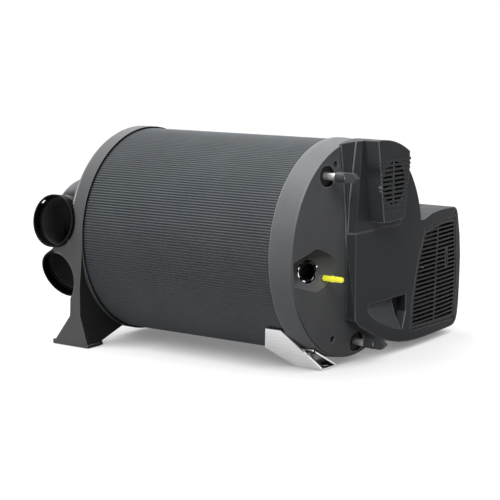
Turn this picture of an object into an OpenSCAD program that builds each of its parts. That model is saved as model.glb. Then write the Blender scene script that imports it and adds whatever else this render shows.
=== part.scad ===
// Caravan water and air heater: a ribbed barrel on two moulded legs and one folded steel foot.
// Warm-air outlets are at the low-X end, pipe connections and the fan box at the high-X end.
// The floor is z = 0, the barrel axis runs along +X above it, and the origin lies on the floor
// midway between the two leg screw holes.

/* [Barrel] */
// Height of the barrel axis above the floor
axis_h = 153; // [151:1:170]
// Outer radius of the outlet ring and the end cover
ring_r = 147; // [144:1:149]
// Step from the rings down to the jacket
jacket_step = 2.5; // [2:0.5:4]
// Wall of the jacket
jacket_wall = 4; // [3:0.5:6]
// Length of jacket that shows between the rings
jacket_len = 316; // [280:1:360]
// Depth that the jacket reaches into each ring
socket = 11; // [8:1:12]
// Radial clearance of seated pieces
fit = 0.2; // [0.15:0.05:0.3]
// Count of main flutes round the jacket
flutes = 60; // [40:4:72]
// Depth of each flute
flute_depth = 1.2; // [0.6:0.1:1.5]
// Radius of each flute's round bottom
flute_r = 6; // [4:0.5:8]

/* [Outlet end] */
// Distance from the leg screw holes to the outlet ring
ring_x = 21; // [18:1:26]
// Width of the outlet ring
ring_w = 21; // [19:1:26]
// Radial depth of the outlet ring's inner lip
ring_lip = 13; // [11:1:16]
// Depth of the bulge on the distributor cover
dish_depth = 69.5; // [66:0.5:72]
// Radius of the bulge, which lies across the cover
dish_r = 90; // [86:1:94]
// Reach of the bulge to each side of the barrel axis
dish_reach = 112; // [108:1:114]
// Wall of the distributor cover
dish_wall = 3; // [2:0.5:4]
// Radius of the duct bore in each outlet
outlet_r = 35; // [32:0.5:35.5]
// Wall of each outlet spigot
outlet_wall = 2; // [1.5:0.5:2.5]
// Depth of the duct bore
outlet_bore = 11; // [8:1:12]
// Thickness of the stop at the bottom of the duct bore
outlet_stop = 3; // [2:0.5:4]
// Radial width of the stop
outlet_stop_w = 2; // [1:0.5:3]
// Distance of the upper outlet mouths from the barrel axis
mouth_r = 152; // [150:1:155]
// Depth of the lower outlet mouths behind the upper ones
mouth_step = 9; // [6:0.5:10]
// Angle of the upper outlets above the horizontal
upper_angle = 8.5; // [6:0.5:12]
// Offset of the outlets from the leg screw holes, towards low X
outlet_back = 9.5; // [6:0.5:12]

/* [Legs] */
// Thickness of the outer skin of each leg
leg_skin = 5; // [4:0.5:7]
// Height of the narrow waist of each leg
leg_waist_h = 48; // [40:1:56]
// Reach of each sole towards low X from the screw hole
sole_back = 16; // [12:1:20]
// Reach of each sole past the ring, towards high X
sole_front = 8; // [4:1:12]
// Depth of each sole under the barrel
sole_depth = 26; // [22:1:32]
// Thickness of each sole
sole_t = 4; // [3:0.5:6]
// Radius of the leg screw holes
leg_hole_r = 3.5; // [3:0.25:4]

/* [End cover] */
// Width of the band of the end cover
band_w = 34; // [30:1:40]
// Wall of the end cover
cover_wall = 3; // [2.5:0.5:4]
// Inward taper of the band up to the face
band_taper = 3.5; // [2.5:0.5:4.5]
// Bulge of the face at its middle
dome_h = 8; // [6:0.5:10]
// Slope of the exhaust scoop's floor, and tilt of its port from the barrel axis
port_tilt = 25; // [22:1:27]
// Radius of the exhaust scoop
scoop_r = 34; // [31:0.5:37]
// Bore radius of the exhaust port
port_r = 10.5; // [9:0.5:11]
// Wall of the exhaust port
port_wall = 1.5; // [1:0.5:2]

/* [Pipes] */
// Outer radius of the water pipes
pipe_r = 5; // [4:0.25:6]
// Wall of the water pipes
pipe_wall = 1; // [0.75:0.25:1.5]
// Radius of the holes around the water pipes
pipe_hole_r = 13.5; // [11:0.5:15]
// Length of water pipe that stands out of the face
pipe_out = 30; // [26:1:36]
// Bare length of water pipe between the face and its cap
pipe_bare = 15; // [12:1:18]
// Length of the water pipe caps
cap_len = 32; // [28:1:40]
// Wall of the water pipe caps
cap_wall = 1.2; // [1:0.1:2]
// Outer radius of the fuel pipe
fuel_r = 2.5; // [2:0.25:3]
// Length of fuel pipe that stands out of the face
fuel_out = 22; // [18:1:26]
// Length of the fuel pipe cap
fuel_cap_len = 30; // [27:1:36]
// Wall of the fuel pipe cap
fuel_cap_wall = 1.1; // [0.8:0.1:1.6]
// Radial running clearance of the caps and shafts
running = 0.05; // [0.02:0.01:0.08]

/* [Fan box] */
// Height of the front of the box above the rim of the end cover
box_front = 20; // [18:0.5:24]
// Wall of the box
box_wall = 3; // [2:0.5:4]
// Left edge of the box from the barrel axis
box_left = 33; // [30:1:36]
// Distance that the left side runs in up to the front
left_run = 7.5; // [5:0.5:10]
// Reach of the box beyond the barrel
box_reach = 131; // [127:1:145]
// Height of the seam under the electronics cover, from the barrel axis
seam_h = 25; // [20:1:30]
// Distance of the box floor below the barrel axis
box_drop = 143; // [140:1:146]
// Distance of the right edge of the electronics cover from the barrel axis
cover_right = 88; // [82:1:92]
// Radius of the bowed front
bow_r = 1500; // [1200:50:2000]
// Place where the bow of the front begins
bow_y = 100; // [80:1:110]
// Depth of the fan box behind the rim of the end cover
fan_back = 75; // [72:1:90]
// Gap between the fan box and the barrel
barrel_gap = 1.5; // [1:0.5:3]
// Clearance of the lift-off pieces
lift_gap = 0.3; // [0.3:0.05:0.5]
// Gap at the slanted parting under the electronics cover
parting_gap = 0.8; // [0.5:0.1:1.2]
// Height of the raised panel above the front of the box
panel_h = 22; // [18:0.5:26]
// Radius of the round louvre
louvre_r = 29; // [24:0.5:30]
// Pitch of the louvre slots and of the grille slats
slat_pitch = 6; // [5:0.25:7]
// Height of each louvre slot
louvre_slot = 3; // [2:0.25:3.5]
// Height of each gap between the grille slats
grille_slot = 3.8; // [3:0.1:4.2]
// Depth of the intake grille
grille_t = 7; // [5:0.5:8]
// Width of the groove round the intake grille
groove_w = 1.1; // [0.8:0.1:1.4]
// Width of the rim of the intake grille
grille_rim = 5; // [4:0.5:7]
// Slope of the grip recess's floor
grip_tilt = 13; // [10:0.5:14]
// Step at the lower edge of the grip recess
grip_step = 12; // [8:0.5:14]
// Depth of the finger slot at the end of the grip recess
grip_depth = 14; // [11:0.5:15]

/* [Fan] */
// Gap between the circulation impeller and its scroll
fan_gap = 6; // [4:0.5:8]
// Room left beside the scroll inside the box
scroll_room = 7.5; // [6:0.5:10]
// Width of the circulation impeller
fan_w = 34; // [28:1:36]
// Count of blades on the circulation impeller
fan_blades = 24; // [16:1:30]
// Radius of the circulation fan motor
fan_motor_r = 22; // [18:1:26]
// Length of the circulation fan motor
fan_motor_len = 26; // [22:1:28]
// Radius of the fan shaft
fan_shaft_r = 3; // [2.5:0.25:4]

/* [Heater core] */
// Gap of the insulation around the tank
sleeve_wall = 5.5; // [4:0.5:7]
// Wall of the water tank
tank_wall = 1.5; // [1:0.25:2]
// Inner radius of the water tank
tank_in_r = 84; // [78:1:88]
// Length of the water tank
tank_len = 270; // [240:1:275]
// Count of fins on the heat exchanger
fins = 36; // [24:2:44]
// Outer radius of the heat exchanger core
core_r = 48; // [44:1:52]
// Wall of the heat exchanger core and of the burner tube
core_wall = 3; // [2:0.5:4]
// Length of the burner head
head_len = 30; // [26:1:32]
// Radius of the combustion blower housing
blower_r = 36; // [32:1:40]
// Length of the combustion blower housing
blower_len = 18; // [16:1:20]
// Radius of the combustion blower motor
blower_motor_r = 16; // [13:1:18]
// Length of the combustion blower motor
blower_motor_len = 17; // [14:1:18]
// Radius of the combustion blower shaft
blower_shaft_r = 2; // [1.5:0.25:2.5]

/* [Steel foot] */
// Thickness of the foot's sheet
foot_t = 2; // [1.5:0.5:3]
// Angle of the foot's front plate round the barrel, from the top
foot_front_angle = 130; // [126:1:134]
// Angle of the foot's rear plate round the barrel, from the top
foot_rear_angle = 150; // [147:1:152]
// Length of the foot on the floor
foot_len = 35; // [32:1:44]
// Radius of the foot's floor screw holes
foot_hole_r = 3; // [2.5:0.25:3.5]
// Spacing of the foot's floor screw holes
foot_hole_pitch = 18; // [16:1:20]

/* [Hidden] */
$fn = 96;
eps = 1;

jacket_r = ring_r - jacket_step;
jacket_x = ring_x + ring_w;
band_x = jacket_x + jacket_len;
face_x = band_x + band_w;
face_r = ring_r - band_taper;
cup_r = jacket_r - jacket_wall;

outlet_out_r = outlet_r + outlet_wall;
outlet_len = outlet_bore + outlet_stop;
collar_r = mouth_r - outlet_len;
outlet_split = 2 * asin((outlet_out_r + fit) / collar_r);
lower_angle = outlet_split - upper_angle;
outlets = [[upper_angle, mouth_r], [-lower_angle, mouth_r - mouth_step]];
outlet_x = -outlet_back;
collar_len = 44;
flange_r = ring_r - 2;
flange_t = 4;
dish_dz = -5;

leg_hole_y = ring_r - sole_depth / 2;
sole_x = jacket_x + sole_front;
web_x = ring_x + 9;
web_t = 6;

tank_r = cup_r - sleeve_wall - 2 * fit;
tank_x = jacket_x + 10;
tank_end = tank_x + tank_len;
head_x = tank_end;
blower_x = head_x + head_len;
blower_motor_x = blower_x + blower_len;
hot_r = tank_r - pipe_r - 8;
hot_angle = -32.3;
cold_r = tank_r - pipe_r - 3;
cold_angle = 176;
hot_pos = [hot_r * sin(hot_angle), hot_r * cos(hot_angle)];
cold_pos = [cold_r * sin(cold_angle), cold_r * cos(cold_angle)];
pipe_x = tank_end - tank_wall;
cap_r = pipe_r + running + cap_wall;
grommet_t = 6;

port_y = -93.5;
port_dz = -18.5;
port_seat = 0.8;
fuel_pos = [-74.5, -28.2];
scoop_edge = [7, -53];
scoop_dz = -16;
scoop_wall = 2.5;
scoop_floor = band_w - socket - scoop_wall;
scoop_lip = 2.2;
port_x = face_x + scoop_edge[0] - (scoop_edge[1] - port_y) * tan(port_tilt);
port_len = 16;
flue_r = 64;
fuel_cap_r = fuel_r + running + fuel_cap_wall;
well_r = 5;
wells = [[-46.8, 116.3], [-52.9, -113.1]];

front_x = face_x + box_front;
panel_x = front_x + panel_h;
box_right = ring_r + box_reach;
back_x = face_x - fan_back;
scroll_wall = 2;
scroll_r = (box_reach - barrel_gap - 2 * box_wall - scroll_room) / 2 - scroll_wall;
fan_r = scroll_r - fan_gap;
fan_y = box_right - box_wall - scroll_room - scroll_wall - scroll_r + 0.5;
fan_dz = -56;
scroll_len = 70;
impeller_x = back_x + fan_motor_len + 5;
part_low = 9;
part_high = 13;
tray_t = 2.5;
board_x = face_x + part_low + 5;
board_t = 1.6;
board_low = [-5, 38];
board_high = [62, 118];
post_r = 3;

// Outline of the lower box seen from the front, as (y, height above the axis), counter-clockwise
box_outline = [
    [-box_left, seam_h], [8 - box_left, 56 - ring_r], [20 - box_left, 46 - ring_r],
    [37, 22.5 - ring_r], [62, -box_drop + 10.3], [86, -box_drop + 4.8], [112, -box_drop + 1.4],
    [140, -box_drop], [box_right - 31, -box_drop], [box_right - 20, -box_drop + 1.6],
    [box_right - 12.5, -box_drop + 6.5], [box_right - 8, -box_drop + 15], [box_right - 4.2, -110],
    [box_right - 1.6, -80], [box_right, -43], [box_right - 3.5, -12], [box_right - 12, 20],
    [box_right - 16.5, 27.5], [box_right - 24, 31.5], [ring_r + 61, 33], [ring_r + 32, 31],
    [ring_r + 8, seam_h]];

// Outline of the intake grille
grille_outline = [
    [ring_r - 28, -127], [box_right - 21, -131], [box_right - 16, -90], [box_right - 14.5, -48],
    [box_right - 21, 14.5], [ring_r + 75, 16.5], [ring_r + 42, 13.5], [ring_r + 11, 8],
    [ring_r - 8, -31], [ring_r - 23.5, -85]];

// Outline of the raised panel on the electronics cover
panel_outline = [
    [9, seam_h + 12], [59.5, seam_h + 13], [72.5, 106], [72.5, ring_r + 5], [-8, ring_r + 5]];

// Outline of the grip recess, of the finger slot at its end, and the way its run-out line falls
grip_outline = [[7, -74], [6, -83], [18, -93], [40, -105], [74, -117], [96, -121], [96, -74]];
finger_outline = [[80, -74], [83, -98], [93.5, -120.5], [97, -121.5], [105, -98], [105, -74]];
grip_fall = 20.3;

// Outline of the exhaust scoop, narrowing towards the rim
scoop_outline = [[-30, 45], [-89, 14.5], [-160, -6], [-160, -24], [-89, -45], [-30, -75]];

// Moves every edge of a counter-clockwise outline inwards by d
function inset(p, d) = [for (i = [0 : len(p) - 1])
    let (a = p[(i + len(p) - 1) % len(p)], b = p[i], c = p[(i + 1) % len(p)],
         u = (b - a) / norm(b - a), v = (c - b) / norm(c - b),
         n1 = [-u[1], u[0]], n2 = [-v[1], v[0]])
    b + (n1 + n2) * d / (1 + n1 * n2)];

// Place on the domed face at radius r
function dome_x(r) = face_x + dome_h * (1 - pow(r / face_r, 2));

dome_steps = [1, 0.8, 0.6, 0.4, 0.2, 0];

// A cylinder on the barrel axis
module drum(x0, x1, r) translate([x0, 0, axis_h]) rotate([0, 90, 0]) cylinder(h = x1 - x0, r = r);

// A tube on the barrel axis
module tube(x0, x1, r_out, r_in) {
    difference() {
        drum(x0, x1, r_out);
        drum(x0 - eps, x1 + eps, r_in);
    }
}

// A profile of (radius, x) spun round the barrel axis
module spun() translate([0, 0, axis_h]) rotate([0, 90, 0]) rotate_extrude() children();

// An outline of (y, height above the axis) drawn out along X
module slab(x0, x1) translate([x0, 0, axis_h]) rotate([90, 0, 90]) linear_extrude(x1 - x0) children();

// A rod along X at a place (y, height above the axis)
module rod(x0, x1, r, pos) translate([x0, pos[0], axis_h + pos[1]]) rotate([0, 90, 0])
    cylinder(h = x1 - x0, r = r);

// A rod drawn outwards from the barrel axis, between two radii, at an angle from the top
module spoke(x, angle, r0, r1, r) translate([x, 0, axis_h]) rotate([-angle, 0, 0])
    translate([0, 0, r0]) cylinder(h = r1 - r0, r = r);

// Copies on both sides of the barrel
module both_sides() {
    children();
    mirror([0, 1, 0]) children();
}

// A countersunk or pan screw along -X, head towards +X at x
module screw(x, pos, shank_r, head_r, head_h, len) {
    rod(x - head_h, x, head_r, pos);
    rod(x - len, x - head_h, shank_r, pos);
}

module jacket() {
    reach = jacket_r - flute_depth + flute_r;
    color("dimgray") difference() {
        tube(jacket_x - socket, band_x + socket, jacket_r, cup_r);
        for (a = [0 : 360 / flutes : 359.9])
            rod(jacket_x + 1, band_x - 1, flute_r, [reach * sin(a), reach * cos(a)]);
    }
}

module insulation_sleeve() {
    color("whitesmoke") tube(tank_x, tank_end, cup_r - fit, tank_r + fit);
}

// All outlets at once, as cylinders of radius r between two depths below their mouths
module outlet_cylinders(below, above, r) {
    for (side = [-1, 1], o = outlets)
        spoke(outlet_x, side * (90 - o[0]), o[1] - below, o[1] + above, r);
}

// The collars that carry the outlets, as cylinders of radius r that reach into the dish by depth
module outlet_collars(depth, above, r) {
    for (side = [-1, 1], o = outlets)
        spoke(outlet_x, side * (90 - o[0]), o[1] - outlet_len - depth, o[1] - outlet_len + above, r);
}

module leg() {
    skin = [[ring_x, axis_h], [ring_x - 1, 108], [ring_x - 4, leg_waist_h - 5], [-sole_back, 0],
        [sole_x, 0], [jacket_x - 9, leg_waist_h + 5], [jacket_x - 2, 124], [jacket_x, axis_h]];
    block_depth = sole_depth + 8;
    web = [[-ring_r, 0], [-ring_r, -axis_h], [-ring_r + block_depth + 5, -axis_h],
        [-56, -axis_h + 17], [-56, -124], [-140, 0]];
    block = [[web_x, 0], [sole_x - 2, 0], [web_x, leg_waist_h]];
    bridge = [[outlet_x - 2, -44], [ring_x + eps, -44], [ring_x + eps, 8], [outlet_x - 2, 8]];
    // outer skin
    translate([0, -ring_r + leg_skin, 0]) rotate([90, 0, 0]) linear_extrude(leg_skin) polygon(skin);
    // upturned lip of the sole
    translate([-sole_back, -ring_r, 0]) cube([4, leg_skin, 6]);
    // web up to the ring
    slab(web_x, web_x + web_t) polygon(web);
    // block on the sole
    translate([0, -ring_r + block_depth, 0]) rotate([90, 0, 0])
        linear_extrude(block_depth - leg_skin + 1) polygon(block);
    // bridge between the two outlets
    translate([0, -ring_r + leg_skin, axis_h]) rotate([90, 0, 0]) linear_extrude(leg_skin) polygon(bridge);
    // sole
    translate([-sole_back, -ring_r, 0]) cube([sole_back + sole_x, sole_depth, sole_t]);
}

module outlet_ring() {
    color("dimgray") difference() {
        union() {
            drum(ring_x, jacket_x, ring_r);
            both_sides() leg();
        }
        drum(ring_x - eps, jacket_x + eps, ring_r - ring_lip);
        drum(jacket_x - socket, sole_x + eps, jacket_r + fit);
        drum(ring_x - flange_t - fit, ring_x, flange_r + fit);
        outlet_cylinders(outlet_len + 8, 1, outlet_out_r + fit);
        // room for the ducts in front of the lower outlets
        outlet_cylinders(0, 80, outlet_r);
        both_sides() translate([0, -leg_hole_y, -eps]) cylinder(h = sole_t + 2 * eps, r = leg_hole_r);
        distributor_screw_set(fit);
    }
}

// The bulge of the cover: part of a drum that lies across it, moved in by d, up to x
module dish(d, x) {
    intersection() {
        translate([ring_x - dish_depth + dish_r, dish_reach - d, axis_h + dish_dz]) rotate([90, 0, 0])
            cylinder(h = 2 * (dish_reach - d), r = dish_r - d);
        drum(ring_x - dish_depth - eps, x, flange_r - 3 - d);
    }
}

module air_distributor() {
    color("dimgray") difference() {
        union() {
            difference() {
                union() {
                    dish(0, ring_x - flange_t / 2);
                    drum(ring_x - flange_t, ring_x, flange_r);
                }
                dish(dish_wall, ring_x + 1);
            }
            intersection() {
                outlet_collars(collar_len, 0, outlet_out_r);
                drum(ring_x - 200, ring_x - 0.5, 2 * ring_r);
            }
        }
        outlet_collars(collar_len + 20, eps, outlet_r - outlet_stop_w);
        outlet_cylinders(outlet_len, 10, outlet_out_r + fit);
        distributor_screw_set(fit);
    }
}

// One duct socket: a short tube with a stop and two latch windows
module outlet_spigot(side, outlet) {
    window = 8;
    turn = side * (90 - outlet[0]);
    mouth = outlet[1];
    color("black") difference() {
        spoke(outlet_x, turn, mouth - outlet_len, mouth, outlet_out_r);
        spoke(outlet_x, turn, mouth - outlet_bore, mouth + eps, outlet_r);
        spoke(outlet_x, turn, mouth - outlet_len - eps, mouth, outlet_r - outlet_stop_w);
        translate([outlet_x, 0, axis_h]) rotate([-turn, 0, 0])
            for (spin = [135, 315]) rotate([0, 0, spin])
                translate([outlet_r - outlet_stop_w, -window / 2, mouth - outlet_bore + 2])
                    cube([outlet_wall + 2 * outlet_stop_w, window, outlet_bore - 5]);
    }
}

module distributor_screw_set(gap) {
    for (angle = [0, 35, 145, 180, 215, 325])
        translate([0, (ring_r - 7.5) * sin(angle), axis_h + (ring_r - 7.5) * cos(angle)])
            rotate([0, 90, 0]) {
                translate([0, 0, ring_x - flange_t]) cylinder(h = 10, r = 1.6 + gap);
                translate([0, 0, ring_x - flange_t - 2.5 + (gap > 0 ? -eps : 0)])
                    cylinder(h = 2.5 + (gap > 0 ? eps : 0), r = 3.2 + gap);
            }
}

module distributor_screws() {
    color("silver") distributor_screw_set(0);
}

module water_tank() {
    r1 = tank_in_r + tank_wall;
    r2 = tank_r - tank_wall;
    color("silver") difference() {
        tube(tank_x, tank_end, tank_r, tank_in_r);
        tube(tank_x + tank_wall, tank_end - tank_wall, r2, r1);
        rod(tank_end - 2 * tank_wall, tank_end + eps, pipe_r + fit / 2, hot_pos);
        rod(tank_end - 2 * tank_wall, tank_end + eps, pipe_r + fit / 2, cold_pos);
    }
}

module heat_exchanger() {
    fin_t = 2;
    fin_r = tank_in_r - fit;
    color("lightgray") difference() {
        slab(tank_x - 5, tank_end) {
            circle(r = core_r);
            for (i = [0 : fins - 1])
                rotate((i + 0.5) * 360 / fins) translate([core_r - 1.5, -fin_t / 2])
                    square([fin_r - core_r + 1.5 - 0.05, fin_t]);
        }
        drum(tank_x - 6, tank_end + eps, core_r - core_wall);
    }
}

module burner_tube() {
    r = core_r - core_wall - fit;
    color("slategray") difference() {
        drum(tank_x + 10, tank_end, r);
        drum(tank_x + 10 + core_wall, tank_end + eps, r - core_wall);
    }
}

module burner_head() {
    color("silver") difference() {
        union() {
            drum(head_x, head_x + 5, core_r + 8);
            drum(head_x, head_x + head_len, core_r - 4);
        }
        drum(head_x - eps, head_x + head_len - 5, core_r - 10);
        rod(head_x, head_x + head_len + eps, 6, [0, 0]);
        spoke(head_x + 14, 20, core_r - 14, core_r, 4 + fit);
        fuel_leg(fit);
    }
}

module glow_plug() {
    color("goldenrod") {
        spoke(head_x + 14, 20, core_r - 12, core_r - 3.8, 4);
        spoke(head_x + 14, 20, core_r - 3.8, core_r + 4, 6);
        spoke(head_x + 14, 20, core_r + 4, core_r + 14, 2.5);
    }
}

module blower_housing() {
    r_in = blower_r - 2;
    color("dimgray") difference() {
        drum(blower_x, blower_motor_x, blower_r);
        drum(blower_x + 2, blower_motor_x - 2, r_in);
        drum(blower_x - eps, blower_x + 3, 6);
        drum(blower_motor_x - 3, blower_motor_x + eps, 6);
        translate([blower_x + 4, -6, axis_h - blower_r - eps]) cube([blower_len - 8, 12, 8]);
    }
}

module blower_motor() {
    color("silver") difference() {
        drum(blower_motor_x, blower_motor_x + blower_motor_len, blower_motor_r);
        drum(blower_motor_x - eps, blower_motor_x + 10, blower_shaft_r + running);
    }
}

module blower_shaft() {
    color("gray") drum(blower_x + 5, blower_motor_x + 9, blower_shaft_r);
}

module blower_impeller() {
    wheel_r = blower_r - 6;
    blades = 9;
    color("gainsboro") difference() {
        union() {
            drum(blower_x + 5, blower_x + blower_len - 4, 6);
            drum(blower_x + blower_len - 6, blower_x + blower_len - 4, wheel_r);
            for (i = [0 : blades - 1])
                translate([0, 0, axis_h]) rotate([i * 360 / blades, 0, 0])
                    translate([blower_x + 5, -0.8, 4]) cube([blower_len - 10, 1.6, wheel_r - 5]);
        }
        drum(blower_x + 4, blower_motor_x, blower_shaft_r + 0.02);
    }
}

module tank_sensor() {
    pos = [hot_r * sin(40), hot_r * cos(40)];
    color("goldenrod") {
        rod(tank_end, tank_end + 4, 7, pos);
        rod(tank_end + 4, tank_end + 14, 3.5, pos);
    }
}

module overheat_switch() {
    pos = [hot_r * sin(70), hot_r * cos(70)];
    color("black") {
        rod(tank_end, tank_end + 3, 9, pos);
        rod(tank_end + 3, tank_end + 10, 7, pos);
    }
}

// The exhaust scoop: a round trough that slopes in towards the rim and ends behind it
module scoop(grow) {
    intersection() {
        translate([face_x + scoop_edge[0], scoop_edge[1], axis_h + scoop_dz]) rotate([0, 0, -port_tilt])
            translate([scoop_r, 0, 0]) rotate([90, 0, 0]) translate([0, 0, -120])
                cylinder(h = 240, r = scoop_r + grow);
        drum(face_x - scoop_floor - grow, face_x + 60, face_r - scoop_lip + grow);
        slab(face_x - 60, face_x + 60) polygon(inset(scoop_outline, -grow));
    }
}

// Outer shape of the end cover, grown by a gap
module end_cover_shape(gap) {
    spun() polygon(concat(
        [[0, band_x], [ring_r + gap, band_x], [ring_r + gap, band_x + 8], [face_r + 1.2 + gap, face_x - 2]],
        [for (k = dome_steps) [k * (face_r + gap), dome_x(k * face_r) + gap]]));
}

module end_cover() {
    inlet_y = [15, 128];
    inlet_dz = [-85, seam_h - 12];
    color("dimgray") difference() {
        end_cover_shape(0);
        difference() {
            spun() polygon(concat(
                [[0, band_x - eps], [jacket_r + fit, band_x - eps], [jacket_r + fit, band_x + socket],
                    [cup_r, band_x + socket], [cup_r, face_x - cover_wall]],
                [for (k = dome_steps) [k * cup_r, dome_x(k * face_r) - cover_wall]]));
            scoop(scoop_wall);
            for (w = wells) rod(face_x - 12, face_x + 20, well_r + 2, w);
        }
        scoop(0);
        for (w = wells) {
            rod(face_x - 8, face_x + 20, well_r, w);
            rod(face_x - 14, face_x, 1.6 + fit, w);
        }
        pipe_hole(face_x - 30, face_x + 20, pipe_hole_r, hot_pos);
        pipe_hole(face_x - 30, face_x + 20, pipe_hole_r, cold_pos);
        rod(face_x - 40, face_x + 20, fuel_r + fit, fuel_pos);
        exhaust_tube(port_r + port_wall + fit, port_len + 4);
        port_axis() translate([0, 0, -port_seat]) cylinder(h = 12, r = port_r + port_wall + 3.2);
        slab(face_x - 12, face_x + 20) intersection() {
            circle(r = 126);
            translate([inlet_y[0], inlet_dz[0]]) square([inlet_y[1] - inlet_y[0], inlet_dz[1] - inlet_dz[0]]);
        }
        foot_screw_set(fit);
    }
}

module end_cover_screws() {
    color("black") for (w = wells) screw(face_x - 8 + 2.4, w, 1.6, 2.8, 2.4, 8);
}

// A straight water pipe out of the tank
module water_pipe(pos) {
    color("gainsboro") difference() {
        rod(pipe_x, face_x + pipe_out, pipe_r, pos);
        rod(pipe_x - eps, face_x + pipe_out + eps, pipe_r - pipe_wall, pos);
    }
}

// A hole round a water pipe, longer towards the near side
module pipe_hole(x0, x1, r, pos) {
    for (y = [-5, -1.5, 2]) rod(x0, x1, r, pos + [y, 0]);
}

module pipe_grommet(pos) {
    color("black") difference() {
        pipe_hole(face_x - grommet_t - 3, face_x - 3, pipe_hole_r - fit, pos);
        rod(face_x - 20, face_x + eps, pipe_r + fit, pos);
    }
}

// A push-on cap: a round collar that runs into a flat blade with a blunt point
module pipe_cap(pos) {
    collar = 14;
    blade_t = 8;
    x0 = face_x + pipe_bare;
    x1 = x0 + cap_len;
    blade = [[x0 + collar - 4, -cap_r], [x1 - 6, -cap_r], [x1, 0], [x1 - 6, cap_r], [x0 + collar - 4, cap_r]];
    color("dimgray") difference() {
        union() {
            rod(x0, x0 + collar, cap_r + 0.6, pos);
            translate([0, pos[0] + blade_t / 2, axis_h + pos[1]]) rotate([90, 0, 0])
                linear_extrude(blade_t) polygon(blade);
        }
        rod(x0 - eps, face_x + pipe_out + 0.5, pipe_r + running, pos);
    }
}

// Radial stretch of the fuel pipe, from the burner head out to the straight run
module fuel_leg(gap) {
    angle = atan2(fuel_pos[0], fuel_pos[1]);
    spoke(head_x + 10, angle, core_r - 10 - 2 * gap, norm(fuel_pos), fuel_r + gap);
}

module fuel_pipe() {
    color("gainsboro") {
        fuel_leg(0);
        translate([head_x + 10, fuel_pos[0], axis_h + fuel_pos[1]]) sphere(r = fuel_r + 0.4);
        rod(head_x + 10, face_x + fuel_out, fuel_r, fuel_pos);
    }
}

module fuel_pipe_cap() {
    x0 = face_x + 2.5;
    x1 = x0 + fuel_cap_len;
    color("yellow") difference() {
        union() {
            rod(x0, x1 - fuel_cap_r, fuel_cap_r, fuel_pos);
            rod(x0 + fuel_cap_len * 0.4, x0 + fuel_cap_len * 0.4 + 3, fuel_cap_r + 0.6, fuel_pos);
            translate([x1 - fuel_cap_r, fuel_pos[0], axis_h + fuel_pos[1]]) sphere(r = fuel_cap_r);
        }
        rod(x0 - eps, face_x + fuel_out + 0.5, fuel_r + running, fuel_pos);
    }
}

// Puts a shape on the port's tilted axis, with z = 0 at the scoop's floor and z outwards
module port_axis() {
    translate([port_x, port_y, axis_h + port_dz]) rotate([0, 0, -port_tilt]) rotate([0, 90, 0]) children();
}

// A round bar on the port's axis, from the scoop's floor inwards by len
module exhaust_tube(r, len) {
    port_axis() translate([0, 0, -len]) cylinder(h = len + 2, r = r);
}

// Inner stretch of the exhaust: along the boiler from the heat exchanger, then out to the port
module exhaust_leg() {
    tip = [port_y + port_len * sin(port_tilt), port_dz];
    bend = tip * flue_r / norm(tip);
    bend_x = port_x - port_len * cos(port_tilt) + 3;
    rod(tank_end, bend_x + 6, 7, bend);
    spoke(bend_x, atan2(tip[0], tip[1]), flue_r - 3, norm(tip), 5.6);
}

module exhaust_port() {
    color("gray") difference() {
        union() {
            exhaust_tube(port_r + port_wall, port_len);
            exhaust_leg();
        }
        port_axis() translate([0, 0, -port_len + 4]) cylinder(h = port_len, r = port_r);
    }
}

// Spring clip that holds the exhaust duct: an open ring with two turned-up tails
module exhaust_clip() {
    wire = 0.8;
    tail = wire + 0.1;
    ring = port_r + port_wall + wire + 0.25;
    color("gainsboro") port_axis() translate([0, 0, tail + 0.1 - port_seat]) {
        rotate([0, 0, 180]) rotate_extrude(angle = 300) translate([ring - wire, -wire]) square(2 * wire);
        for (end = [120, 180]) rotate([0, 0, end]) translate([ring - tail, -tail, -tail])
            cube([2 * tail, 2 * tail, 7]);
    }
}

// The bowed front of the box as a solid reaching back from it, moved back by d
module bow(d) {
    translate([front_x - bow_r, bow_y, -eps]) cylinder(h = 2 * axis_h + 10, r = bow_r - d, $fn = 1080);
    translate([back_x - 50, bow_y - 400, -eps]) cube([front_x - back_x + 50 - d, 400, 2 * axis_h + 10]);
}

// The space in front of the slanted parting plane under the electronics cover, moved by d
module above_parting(d) {
    side = [[face_x + part_low + d, seam_h], [face_x + part_high + d, ring_r + 5],
        [panel_x + 20, ring_r + 5], [panel_x + 20, seam_h - 30], [face_x + part_low + d, seam_h - 30]];
    translate([0, 300, axis_h]) rotate([90, 0, 0]) linear_extrude(600) polygon(side);
}

// The space left of the box's slanted left side and of the cover's wider slope, moved in by d
module left_of_slopes(d) {
    translate([front_x, left_run - box_left, axis_h + seam_h])
        for (turn = [[0, 0, 30], [-4, 0, 50]])
            rotate(turn) translate([-150, d - 100, -300]) cube([300, 100, 600]);
}

// Upper outline of the box, over the barrel's end
module upper_outline(right, low, d) {
    intersection() {
        circle(r = ring_r - d);
        polygon([[-box_left + d, low + d], [right - d, low + d], [right - d, ring_r + 5],
            [-box_left - 2 + d, ring_r + 5]]);
    }
}

// The fan box beside the barrel, as an outline that clears the barrel by a gap
module beside_barrel(d) {
    difference() {
        intersection() {
            polygon(inset(box_outline, d));
            translate([112 + d, -300]) square([400, 600]);
        }
        circle(r = ring_r + barrel_gap + d);
    }
}

// The grip recess: a floor that slopes in from its lower edge, and a deep slot for the fingertips
module grip_pocket(grow) {
    intersection() {
        slab(front_x - 60, front_x + 5) polygon(inset(grip_outline, -grow));
        translate([front_x + 0.5, grip_outline[1][0], axis_h + grip_outline[1][1] - grip_step])
            rotate([-grip_fall, 0, 0]) rotate([0, -grip_tilt, 0])
            translate([-grow, -100, -100]) cube([100, 300, 250]);
    }
    slab(front_x - grip_depth - grow, front_x + 5) polygon(inset(finger_outline, -grow));
}

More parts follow.
